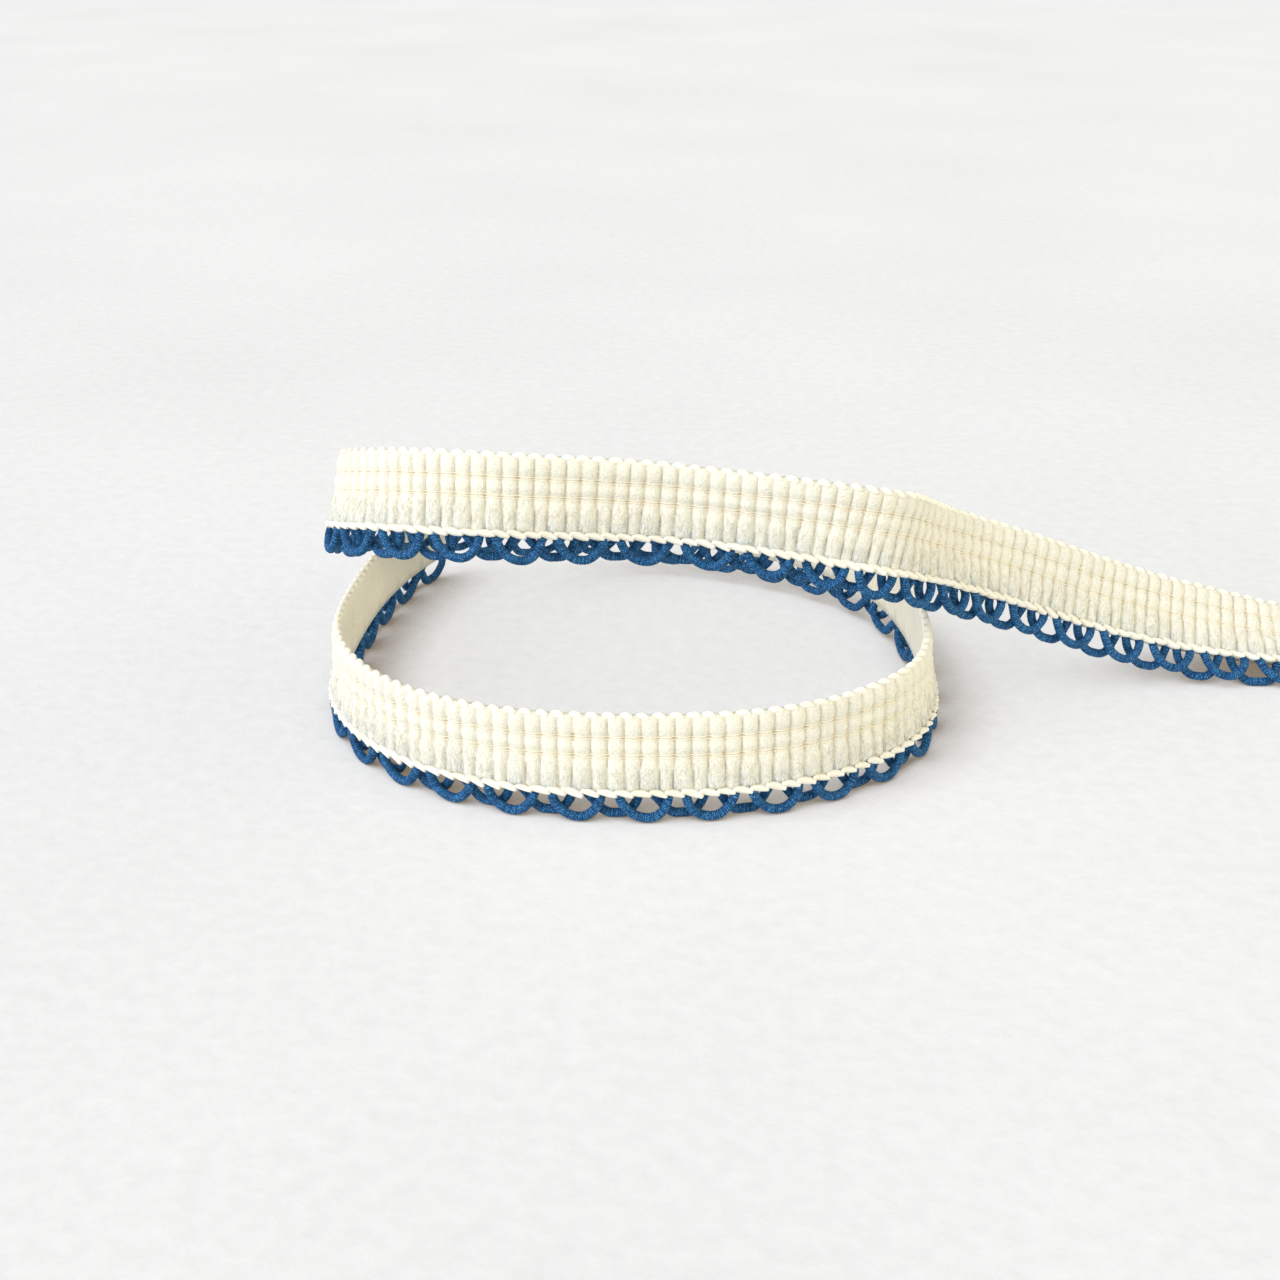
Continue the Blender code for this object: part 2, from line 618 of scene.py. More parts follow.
@dataclass(frozen=True)
class CreamThread:
    """Fine twisted cream thread, for beads, binding and the edge chain."""

    name: str
    colour: Colour = (0.85, 0.83, 0.71, 1.0)
    hollow: Colour = (0.78, 0.67, 0.43, 1.0)
    evenness: float = 0.72
    mottle_scale: float = 220.0
    detail: float = 3.0
    mottle_span: Span = (0.62, 0.30)
    twist: float = 1400.0
    twist_waver: float = 3.0
    twist_height: float = 0.00008
    twist_strength: float = 0.22

    def material(self) -> Material:
        """Makes the finish.

        Returns:
            The material.
        """
        nodes = ShaderNodes(self.name)
        mottle = nodes.ramp(nodes.noise(self.mottle_scale, self.detail), *self.mottle_span)
        base = nodes.mix(mottle, self.colour, self.hollow)
        nodes.colour(nodes.mix(self.evenness, base, self.colour))
        links = {"Vector": nodes.coordinates(), "Scale": self.twist, "Distortion": self.twist_waver}
        strands = nodes.node("ShaderNodeTexWave", links, bands_direction="DIAGONAL")
        nodes.bump(strands.outputs[1], self.twist_strength, self.twist_height)
        nodes.set(Roughness=0.8, Specular_IOR_Level=0.3, Sheen_Weight=0.2)
        nodes.set(Subsurface_Weight=0.1, Subsurface_Scale=0.0006)
        nodes.set(Subsurface_Radius=COTTON_DEPTHS)
        return nodes.material


@dataclass(frozen=True)
class BlueGimp:
    """Blue satin filament, wound close round a core, with painted shade between its wraps and
    painted highlights on their tops.
    """

    name: str
    # Painted shade between the wraps, and also the colour of dark flecks at random
    painted_shade_and_dark_fleck: Colour = (0.0015, 0.020, 0.058, 1.0)
    body: Colour = (0.011, 0.086, 0.225, 1.0)
    # Painted highlight: the pale colour of the flecks on the wraps' tops
    pale: Colour = (0.075, 0.27, 0.50, 1.0)
    sheen: Colour = (0.25, 0.6, 0.95, 1.0)
    groove_span: Span = (-0.30, 0.85)
    crest_span: Span = (0.1, 0.9)
    speck_scale: float = 6500.0
    deep_span: Span = (0.47, 0.30)
    painted_highlight_span: Span = (0.50, 0.62)
    speck_height: float = 0.00008
    speck_strength: float = 0.5

    def material(self) -> Material:
        """Makes the finish, which reads the cord's own ridges.

        Returns:
            The material.
        """
        nodes = ShaderNodes(self.name)
        ridge = nodes.attribute("ridge")
        speck = nodes.noise(self.speck_scale)
        # Painted shade: darker between the wraps, by the cord's own ridges
        base = nodes.mix(nodes.ramp(ridge, *self.groove_span), self.painted_shade_and_dark_fleck, self.body)
        # Dark flecks at random
        base = nodes.mix(nodes.ramp(speck, *self.deep_span), base, self.painted_shade_and_dark_fleck)
        # Painted highlight: pale flecks on the tops of the wraps
        crest = nodes.ramp(ridge, *self.crest_span)
        painted_highlight = nodes.math("MULTIPLY", nodes.ramp(speck, *self.painted_highlight_span), crest)
        nodes.colour(nodes.mix(painted_highlight, base, self.pale))
        nodes.bump(speck, self.speck_strength, self.speck_height)
        nodes.set(Roughness=0.6, Specular_IOR_Level=0.16)
        nodes.set(Sheen_Weight=0.04, Sheen_Roughness=0.35, Sheen_Tint=self.sheen)
        return nodes.material


@dataclass(frozen=True)
class PlasterFloor:
    """A pale, faintly trowelled surface, with a painted contact shadow where something stands close
    over it.
    """

    name: str
    colour: Colour = (0.24, 0.24, 0.238, 1.0)
    # Painted shadow: the colour where something stands close over the floor, between it and the
    # light
    painted_contact_shadow: Colour = (0.050, 0.034, 0.018, 1.0)
    painted_shadow_span: Span = (0.34, 0.92)
    reach: float = 0.012
    towards_light: tuple[float, float, float] = (-0.50, -0.62, 0.60)
    rays: int = 8
    broad_scale: float = 9.0
    broad_detail: float = 5.0
    grain_scale: float = 420.0
    grain_detail: float = 6.0
    broad_in_colour: float = 0.5
    cloud_tone: Tone = (0.3, 0.7, 0.93, 1.04)
    broad_over_grain: float = 3.0
    height: float = 0.0006
    strength: float = 0.42

    def material(self) -> Material:
        """Makes the finish.

        Returns:
            The material.
        """
        nodes = ShaderNodes(self.name)
        broad = nodes.noise(self.broad_scale, self.broad_detail)
        grain = nodes.noise(self.grain_scale, self.grain_detail)
        # Painted contact shadow: ambient occlusion, sought towards the main light, darkens the
        # floor's colour
        way = nodes.node("ShaderNodeCombineXYZ", dict(enumerate(self.towards_light)))
        links = {"Distance": self.reach, "Normal": way.outputs[0]}
        room = nodes.node("ShaderNodeAmbientOcclusion", links, samples=self.rays).outputs["AO"]
        base = nodes.mix(nodes.ramp(room, *self.painted_shadow_span), self.painted_contact_shadow, self.colour)
        cloud = nodes.blend(broad, grain, self.broad_in_colour)
        nodes.colour(nodes.tone(base, cloud, self.cloud_tone))
        relief = nodes.math("ADD", nodes.math("MULTIPLY", broad, self.broad_over_grain), grain)
        nodes.bump(relief, self.strength, self.height)
        nodes.set(Roughness=0.75, Specular_IOR_Level=0.2)
        return nodes.material


# The tape


class RibRow(NamedTuple):
    """The ribs at one distance down: how far they rise, and how much of their pitch they fill.

    Each has a value for the wide ribs and one for the narrow ones.
    """

    down: float
    wide_rise: float
    narrow_rise: float
    wide_fill: float
    narrow_fill: float


# Even ribs end below in a full drop, and odd ones run on, slimmer, to the edge chain
RIB_ROWS: tuple[RibRow, ...] = tuple(
    RibRow(*row)
    for row in (
        (0.55, 0.10, 0.10, 0.86, 0.86),
        (0.95, 0.38, 0.38, 0.93, 0.93),
        (1.50, 0.48, 0.48, 0.98, 0.98),
        (2.10, 0.50, 0.50, 1.00, 1.00),
        (2.70, 0.46, 0.46, 0.96, 0.96),
        (3.05, 0.38, 0.38, 0.86, 0.86),
        (3.30, 0.34, 0.34, 0.80, 0.80),
        (3.55, 0.38, 0.38, 0.86, 0.86),
        (3.95, 0.48, 0.48, 0.96, 0.96),
        (4.50, 0.52, 0.52, 1.00, 1.00),
        (5.05, 0.48, 0.48, 0.96, 0.96),
        (5.40, 0.38, 0.38, 0.86, 0.86),
        (5.70, 0.34, 0.34, 0.80, 0.80),
        (5.95, 0.38, 0.38, 0.86, 0.86),
        (6.50, 0.54, 0.50, 0.96, 0.96),
        (7.30, 0.66, 0.56, 1.00, 0.99),
        (8.20, 0.72, 0.60, 1.00, 1.00),
        (8.90, 0.72, 0.60, 1.00, 0.99),
        (9.40, 0.62, 0.52, 0.98, 0.95),
        (9.75, 0.44, 0.42, 0.92, 0.90),
        (10.00, 0.22, 0.30, 0.80, 0.84),
        (10.20, 0.06, 0.18, 0.64, 0.78),
        (10.60, 0.00, 0.06, 0.50, 0.70),
    )
)

# How far out the bottom of the grooves lies, by the distance down
GROOVE_FLOOR: tuple[tuple[float, float], ...] = (
    (0.55, 0.14),
    (1.20, 0.26),
    (2.20, 0.32),
    (2.90, 0.20),
    (3.30, 0.17),
    (3.70, 0.20),
    (4.50, 0.32),
    (5.30, 0.20),
    (5.70, 0.17),
    (6.10, 0.20),
    (7.20, 0.32),
    (8.90, 0.34),
    (9.60, 0.60),
    (10.60, 0.64),
)


def face_then_back(face: np.ndarray, back: np.ndarray) -> np.ndarray:
    """The face's columns and then the back's, as the cloth goes round its lower edge."""
    return np.concatenate([face, back], axis=1)


@dataclass
class RibbedTape:
    """The cream tape, one cloth with its ribs, pinched rows and full lower row in its surface."""

    gauge: Gauge
    columns_per_rib: int = 10
    face_rows: int = 34
    back_rows: int = 9
    top: float = 0.55
    first_binding: float = 3.3
    second_binding: float = 5.7
    seed: int = 4

    # Ribs: how they sway below, how much they stray and differ, and how round they are
    sway: float = 0.14
    sway_band: Band = Band(5.9, 8.4)
    wander: float = 0.022
    drift: float = 0.03
    uneven: float = 0.06
    shoulder: float = 2.2
    roundness: float = 0.62

    # Fluff on the ribs: its height, what the lower row adds, and its strands and waves
    fluff: float = 0.010
    low_fluff: float = 0.022
    fluff_band: Band = Band(6.0, 7.6)
    strand_share: float = 0.7
    wave_share: float = 0.6
    wave_turns: float = 2.1
    wave_shift: float = 3.0

    # The plain back: how far out it is, and its two fine knit lines a rib
    back_top: float = 0.42
    top_back: float = -0.40
    low_back: float = -0.66
    back_band: Band = Band(4.0, 8.5)
    wale_rise: float = 0.05
    wale_breadth: float = 0.6
    lip_rise: float = 0.12
    lip_height: float = 0.5

    # Painted shade: its breadth at each binding and at the knots below, and its strengths
    first_bound: float = 0.34
    second_bound: float = 0.38
    knot_down: float = 9.95
    knot_height: float = 0.25
    knot_share: float = 0.7
    open_share: float = 0.40
    groove_power: float = 1.6
    groove_shade: float = 0.85
    bound_shade: float = 0.13
    back_shade: float = 0.10
    wale_shade: float = 0.30

    # The grey veil where the blue shows through, and its dark flecks in the grooves
    veil_band: Band = Band(7.3, 9.6)
    veil_end: Band = Band(10.0, 10.5)
    veil_on_rib: float = 0.62
    veil_in_groove: float = 0.50
    veil_power: float = 0.7
    faintest_veil: float = 0.55
    narrow_veil: float = 0.45
    fleck_down: float = 9.75
    fleck_breadth: float = 0.26
    fleck_height: float = 0.42
    fleck_strength: float = 1.1
    fleck_power: float = 1.5

    # Painted shadow in the slits at the back where a cord turns in: along the loop, and how dark
    slit_places: tuple[tuple[float, float], ...] = ((0.55, 1.0), (4.40, 0.55))
    slit_breadth: float = 0.46
    slit_start: Band = Band(9.2, 9.6)
    slit_end: Band = Band(10.35, 10.55)

    def lattice(self) -> tuple[np.ndarray, np.ndarray, np.ndarray]:
        """Distances along, and the rows down the face and up the back.

        Returns:
            The distances along, the face's rows and the back's rows.
        """
        columns = self.gauge.ribs * self.columns_per_rib + 1
        along = np.linspace(0.0, self.gauge.length, columns)
        face = np.linspace(self.top, self.gauge.tape_width, self.face_rows)
        back = np.linspace(self.gauge.tape_width, self.back_top, self.back_rows)
        return along, face, back

    def relief(
        self, along: np.ndarray, down: np.ndarray
    ) -> tuple[np.ndarray, np.ndarray, np.ndarray]:
        """How far the ribbed face stands out.

        Args:
            along: distances along the trim.
            down: distances down from the upper edge.

        Returns:
            The height out of the middle, the hollow from 0 to 1, and the rib's number.
        """
        pitch, ribs = self.gauge.rib_pitch, self.gauge.ribs
        low = self.sway_band.share(down)
        jitter = np.random.default_rng(self.seed)
        place = along / pitch
        wander, drift = (
            np.interp(place, np.arange(ribs + 2), jitter.normal(0.0, spread, ribs + 2))
            for spread in (self.wander, self.drift)
        )
        sway = low * self.sway / pitch * np.cos(np.pi * place)
        bent = place + sway + wander + low * drift
        rib = np.clip(np.floor(bent), 0, ribs - 1).astype(int)
        heights, *table = np.array(RIB_ROWS).T
        wide_rise, narrow_rise, wide_fill, narrow_fill = (
            np.interp(down, heights, column) for column in table
        )
        rise = np.where(rib % 2 == 0, wide_rise, narrow_rise)
        fill = np.where(rib % 2 == 0, wide_fill, narrow_fill)
        across = np.abs(2 * (bent - np.floor(bent)) - 1) / fill
        crown = np.clip(1 - across**self.shoulder, 0.0, 1.0) ** self.roundness
        size = 1 + jitter.normal(0.0, self.uneven, ribs)[rib]
        column = np.round(along / pitch * self.columns_per_rib).astype(int)
        strand = jitter.normal(0.0, 1.0, (2, ribs * self.columns_per_rib + 1))[:, column]
        wave = np.sin(self.wave_turns * down + self.wave_shift * strand[1])
        fluff = self.fluff + self.low_fluff * self.fluff_band.share(down)
        fluff = fluff * (self.strand_share * strand[0] + self.wave_share * wave)
        floor = np.interp(down, *np.array(GROOVE_FLOOR).T)
        return floor + crown * (rise * size + fluff), 1 - crown, rib

    def back_out(self, along: np.ndarray, down: np.ndarray) -> np.ndarray:
        """How far out the plain back is, which lies behind the middle.

        Args:
            along: distances along the trim.
            down: distances down from the upper edge.

        Returns:
            The distances out, below zero.
        """
        wale = 1 - np.abs(np.sin(2 * np.pi * along / self.gauge.rib_pitch)) ** self.wale_breadth
        slope = self.top_back + (self.low_back - self.top_back) * self.back_band.share(down)
        lip = 1 - smoothstep(0.0, self.lip_height, down - self.back_top)
        return slope + self.wale_rise * wale + self.lip_rise * lip

    def painted_face_shade(self, down: np.ndarray, hollow: np.ndarray) -> np.ndarray:
        """The painted shade that darkens and warms the face: most in the grooves, where threads
        bind them.

        Args:
            down: distances down from the upper edge.
            hollow: the hollow from 0 to 1.

        Returns:
            The painted shade, where 1 is the darkest.
        """
        bound = bell(down - self.first_binding, self.first_bound)
        bound = bound + bell(down - self.second_binding, self.second_bound)
        knot = bell(down - self.knot_down, self.knot_height)
        held = np.maximum(bound, self.knot_share * knot)
        depth = self.open_share + (1 - self.open_share) * held
        groove = self.groove_shade * hollow**self.groove_power * depth
        return groove + self.bound_shade * bound

    def painted_back_shade(self, along: np.ndarray) -> np.ndarray:
        """The painted shade that darkens and warms the plain back, most between its knit lines."""
        wale = 1 - np.abs(np.sin(2 * np.pi * along / self.gauge.rib_pitch))
        return self.back_shade + self.wale_shade * wale

    def stains(
        self, along: np.ndarray, down: np.ndarray, hollow: np.ndarray, rib: np.ndarray
    ) -> np.ndarray:
        """Where the blue cord inside shows through the lower row.

        Args:
            along: distances along the trim.
            down: distances down from the upper edge.
            hollow: the hollow from 0 to 1.
            rib: the rib's number.

        Returns:
            The strength of the grey veil, from 0 to 1.
        """
        pitch, ribs = self.gauge.rib_pitch, self.gauge.ribs
        drop = np.where(rib % 2 == 0, 1.0, self.narrow_veil)
        jitter = np.random.default_rng(self.seed + 1)
        patchy = jitter.uniform(self.faintest_veil, 1.0, ribs)[rib]
        strength = self.veil_on_rib + self.veil_in_groove * hollow**self.veil_power
        veil = self.veil_band.share(down) * strength * drop * patchy
        groove = np.round(along / pitch).astype(int)
        dark = np.random.default_rng(self.seed + 2).uniform(0.0, 1.0, ribs + 1)[groove]
        fleck = dark**self.fleck_power * bell(along - groove * pitch, self.fleck_breadth)
        fleck = fleck * bell(down - self.fleck_down, self.fleck_height)
        veil = veil * (1 - self.veil_end.share(down)) + self.fleck_strength * fleck
        return np.clip(veil, 0.0, 1.0)

    def slits(self, along: np.ndarray, down: np.ndarray) -> np.ndarray:
        """Painted shadow in the slits where a cord returns into the plain back: a dark one and a
        faint one a loop.

        Args:
            along: distances along the trim.
            down: distances down from the upper edge.

        Returns:
            The darkness, from 0 to 1.
        """
        pitch = self.gauge.loop_pitch
        tall = self.slit_start.share(down) * (1 - self.slit_end.share(down))
        total = np.zeros_like(along)
        for centre, strength in self.slit_places:
            away = (along - centre + pitch / 2) % pitch - pitch / 2
            total = total + strength * bell(away, self.slit_breadth)
        return total * tall

    def build(self, route: Route, material: Material) -> Object:
        """Builds the cloth.

        Args:
            route: the trim's path.
            material: its finish.

        Returns:
            The finished piece.
        """
        along, face, back = self.lattice()
        along_face, down_face = np.meshgrid(along, face, indexing="ij")
        along_back, down_back = np.meshgrid(along, back, indexing="ij")
        out, hollow, rib = self.relief(along_face, down_face)
        spread = face_then_back(along_face, along_back)
        down = face_then_back(down_face, down_back)
        out = face_then_back(out, self.back_out(along_back, down_back))
        points = route.place(spread, down, out)
        piece = mesh_object("tape_cloth", points, grid_faces(*spread.shape), material)
        face_outwards(piece)
        veil = self.stains(along_face, down_face, hollow, rib)
        # Stored on each point: the painted shade, the blue that shows through, and the painted
        # shadow in the slits
        for name, on_face, on_back in (
            ("hollow", self.painted_face_shade(down_face, hollow), self.painted_back_shade(along_back)),
            ("veil", veil, np.zeros_like(down_back)),
            ("slit", np.zeros_like(down_face), self.slits(along_back, down_back)),
        ):
            point_values(piece, name, np.clip(face_then_back(on_face, on_back), 0, 1))
        measure = np.stack([spread, down, np.zeros_like(down)], axis=-1)
        point_vectors(piece, "measure", measure)
        return piece


class StitchKind(Enum):
    """The stitches that repeat once a rib."""

    BEAD = "edge_beads"
    CHAIN = "edge_chain"


# A bead hooks over the tape's upper edge, and a chain stitch lies across its lower edge
BEAD_SHAPE: tuple[tuple[float, float, float, float], ...] = (
    (-1.15, 0.75, 0.52, 0.12),
    (-0.80, 0.52, 0.50, 0.30),
    (-0.35, 0.18, 0.38, 0.43),
    (0.10, 0.02, 0.18, 0.47),
    (0.55, 0.10, -0.02, 0.41),
    (0.95, 0.38, -0.18, 0.24),
)
CHAIN_SHAPE: tuple[tuple[float, float, float, float], ...] = (
    (-1.18, -0.25, -0.30, 0.24),
    (-0.78, -0.19, 0.00, 0.40),
    (-0.26, -0.06, 0.15, 0.49),
    (0.28, 0.08, 0.15, 0.50),
    (0.78, 0.19, 0.00, 0.41),
    (1.18, 0.26, -0.30, 0.25),
)


@dataclass
class EdgeStitches:
    """One row of stitches, one over each groove, set on the tape's edge by Geometry Nodes.

    A stitch is given by a few points: along, down and out from its own place, and its radius
    there. Stray is along the trim, tilt is in radians, and both are standard deviations.
    """

    gauge: Gauge
    kind: StitchKind
    shape: tuple[tuple[float, float, float, float], ...]
    down: float
    out: float
    small: float = 1.0
    flat: float = 1.0
    stray: float = 0.05
    uneven: float = 0.05
    tilt: float = 0.07
    sides: int = 8
    finer: int = 3
    seed: int = 11

    def pattern(self, material: Material) -> Object:
        """Makes one stitch, with X along the trim, Y out of its face and Z up.

        Args:
            material: the yarn's finish.

        Returns:
            The stitch.
        """
        table = np.array(self.shape)
        given = np.arange(len(table))
        fine = np.linspace(0, given[-1], self.finer * given[-1] + 1)
        smooth = np.stack([np.interp(fine, given, column) for column in table.T], axis=1)
        smooth[1:-1] = (smooth[:-2] + 2 * smooth[1:-1] + smooth[2:]) / 4
        along, down, out, radius = smooth.T
        centres = np.stack([along, out, -down], axis=1)
        points, faces = tapered_tube(centres, radius, self.sides)
        made = mesh_object(f"{self.kind.value}_pattern", points * MM, faces, material)
        face_outwards(made)
        return made

    def places(self, route: Route, material: Material) -> Object:
        """Sets out the row's points.

        Args:
            route: the trim's path.
            material: the yarn's finish.

        Returns:
            A mesh of one point over each groove, which holds the ways that its stitch faces, its
            size and its tilt.
        """
        jitter = np.random.default_rng(self.seed)
        groove = np.arange(1, self.gauge.ribs)
        count = len(groove)
        along = groove * self.gauge.rib_pitch + jitter.normal(0, self.stray, count)
        points = route.place(along, np.full(count, self.down), np.full(count, self.out))
        carrier = mesh_object(f"{self.kind.value}_places", points, [], material)
        point_vectors(carrier, "along_way", unit(route.read(route.along, along)))
        point_vectors(carrier, "up_way", unit(route.read(route.up, along)))
        size = np.where(groove % 2 == 0, 1.0, self.small)
        point_values(carrier, "size", size * (1 + jitter.normal(0, self.uneven, count)))
        point_values(carrier, "tilt", jitter.normal(0, self.tilt, count))
        return carrier

    def build(self, route: Route, material: Material) -> Object:
        """Sets a stitch over each groove.

        Args:
            route: the trim's path.
            material: the yarn's finish.

        Returns:
            The finished row.
        """
        carrier = self.places(route, material)
        pattern = self.pattern(material)
        tree = NodeTree(self.kind.value)
        one = tree.add_input("Stitch", "NodeSocketObject", pattern)
        finish = tree.add_input("Finish", "NodeSocketMaterial", material)
        swell = tree.add_input("Swell", "NodeSocketFloat", 1.0)
        info = tree.node("GeometryNodeObjectInfo", {"Object": one})
        links = {"Vector": tree.attribute("along_way", "FLOAT_VECTOR")}
        lie = tree.node("FunctionNodeAlignRotationToVector", links, axis="X")
        links = {"Rotation": lie.outputs[0], "Vector": tree.attribute("up_way", "FLOAT_VECTOR")}
        stand = tree.node("FunctionNodeAlignRotationToVector", links, axis="Z", pivot_axis="X")
        links = {"Axis": (0, 1, 0), "Angle": tree.attribute("tilt")}
        tilt = tree.node("FunctionNodeAxisAngleToRotation", links)
        links = {0: stand.outputs[0], 1: tilt.outputs[0]}
        turned = tree.node("FunctionNodeRotateRotation", links, rotation_space="LOCAL")
        size = tree.math("MULTIPLY", tree.attribute("size"), swell)
        thick = tree.math("MULTIPLY", size, self.flat)
        scale = tree.node("ShaderNodeCombineXYZ", {0: size, 1: thick, 2: size})
        links = {"Points": tree.carried, "Instance": info.outputs["Geometry"]}
        links |= {"Rotation": turned.outputs[0], "Scale": scale.outputs[0]}
        tree.finish(tree.node("GeometryNodeInstanceOnPoints", links).outputs[0], finish)
        piece = tree.bake(carrier, self.kind.value)
        bpy.data.objects.remove(pattern, do_unlink=True)
        return piece


# Threads and cords


def path_carrier(name: str, paths: list[np.ndarray]) -> Object:
    """A mesh of bare edges, one chain of them for each path.

    Args:
        name: its name.
        paths: arrays of points in metres.

    Returns:
        The carrier.
    """
    data = bpy.data.meshes.new(name)
    edges = []
    start = 0
    for path in paths:
        edges += [(k, k + 1) for k in range(start, start + len(path) - 1)]
        start += len(path)
    data.from_pydata(np.concatenate(paths).tolist(), edges, [])
    carrier = bpy.data.objects.new(name, data)
    bpy.context.scene.collection.objects.link(carrier)
    return carrier


@dataclass(frozen=True)
class Thread:
    """A round thread, by its radius in millimetres and its section's sides."""

    radius: float
    sides: int

    def lay(self, name: str, paths: list[np.ndarray], material: Material) -> Object:
        """Sweeps the thread along each path.

        Args:
            name: the piece's name.
            paths: arrays of points in metres.
            material: the finish.

        Returns:
            The finished threads, as one piece.
        """
        tree = NodeTree(f"{name}_sweep")
        radius = tree.add_input("Radius", "NodeSocketFloat", self.radius * MM)
        finish = tree.add_input("Finish", "NodeSocketMaterial", material)
        curve = tree.node("GeometryNodeMeshToCurve", {"Mesh": tree.carried}).outputs[0]
        links = {"Resolution": self.sides, "Radius": radius}
        ring = tree.node("GeometryNodeCurvePrimitiveCircle", links).outputs[0]
        links = {"Curve": curve, "Profile Curve": ring, "Fill Caps": True}
        tree.finish(tree.node("GeometryNodeCurveToMesh", links).outputs[0], finish)
        return tree.bake(path_carrier(f"{name}_paths", paths), name)


@dataclass
class BindingThreads:
    """Fine threads that lie over the ribs in two rows and dip between them."""

    gauge: Gauge
    tape: RibbedTape
    thread: Thread = Thread(0.085, 5)
    apart: float = 0.16
    weave: float = 0.04
    lift: float = 0.01
    lift_in_groove: float = 0.06
    end_margin: float = 0.2
    points_per_rib: int = 8

    def build(self, route: Route, material: Material) -> Object:
        """Lays two threads on each binding row.

        Args:
            route: the trim's path.
            material: the thread's finish.

        Returns:
            The finished threads.
        """
        count = self.gauge.ribs * self.points_per_rib
        along = np.linspace(self.end_margin, self.gauge.length - self.end_margin, count)
        paths = []
        for row in (self.tape.first_binding, self.tape.second_binding):
            for side in (-1, 1):
                weave = self.weave * np.sin(np.pi * along / self.gauge.rib_pitch + side)
                down = row + side * self.apart + weave
                out, hollow, _ = self.tape.relief(along, down)
                out = out + self.lift + self.lift_in_groove * hollow
                paths.append(route.place(along, down, out))
        return self.thread.lay("binding_threads", paths, material)


# One turn of each cord: along from the left leg, down from the trim's upper edge, and how far out
# of the tape it has come, from 0 inside it to 1 clear of it
FRONT_LOOP: tuple[tuple[float, float, float], ...] = (
    (-0.12, 10.20, 0.25),
    (-0.02, 10.75, 0.80),
    (0.28, 11.55, 1.00),
    (0.72, 12.25, 1.00),
    (1.30, 12.90, 1.00),
    (2.00, 13.40, 1.00),
    (2.90, 13.70, 1.00),
    (3.90, 13.70, 1.00),
    (4.75, 13.30, 1.00),
    (5.40, 12.55, 1.00),
    (5.78, 11.65, 0.95),
    (5.92, 10.95, 0.65),
    (6.02, 10.40, 0.20),
    (6.35, 10.10, 0.00),
    (7.00, 10.02, 0.00),
    (7.60, 10.08, 0.04),
)
REAR_LOOP: tuple[tuple[float, float, float], ...] = (
    (-0.05, 10.15, 0.00),
    (0.08, 10.75, 0.15),
    (0.42, 11.35, 0.62),
    (0.88, 11.98, 0.95),
    (1.38, 12.62, 1.00),
    (1.95, 13.25, 1.00),
    (2.80, 13.68, 1.00),
    (3.80, 13.72, 1.00),
    (4.70, 13.62, 1.00),
    (5.45, 13.15, 1.00),
    (6.00, 12.35, 1.00),
    (6.26, 11.60, 0.80),
    (6.36, 10.90, 0.25),
    (6.46, 10.40, 0.02),
    (6.72, 10.10, 0.00),
    (7.10, 10.02, 0.00),
    (7.60, 10.06, 0.00),
)


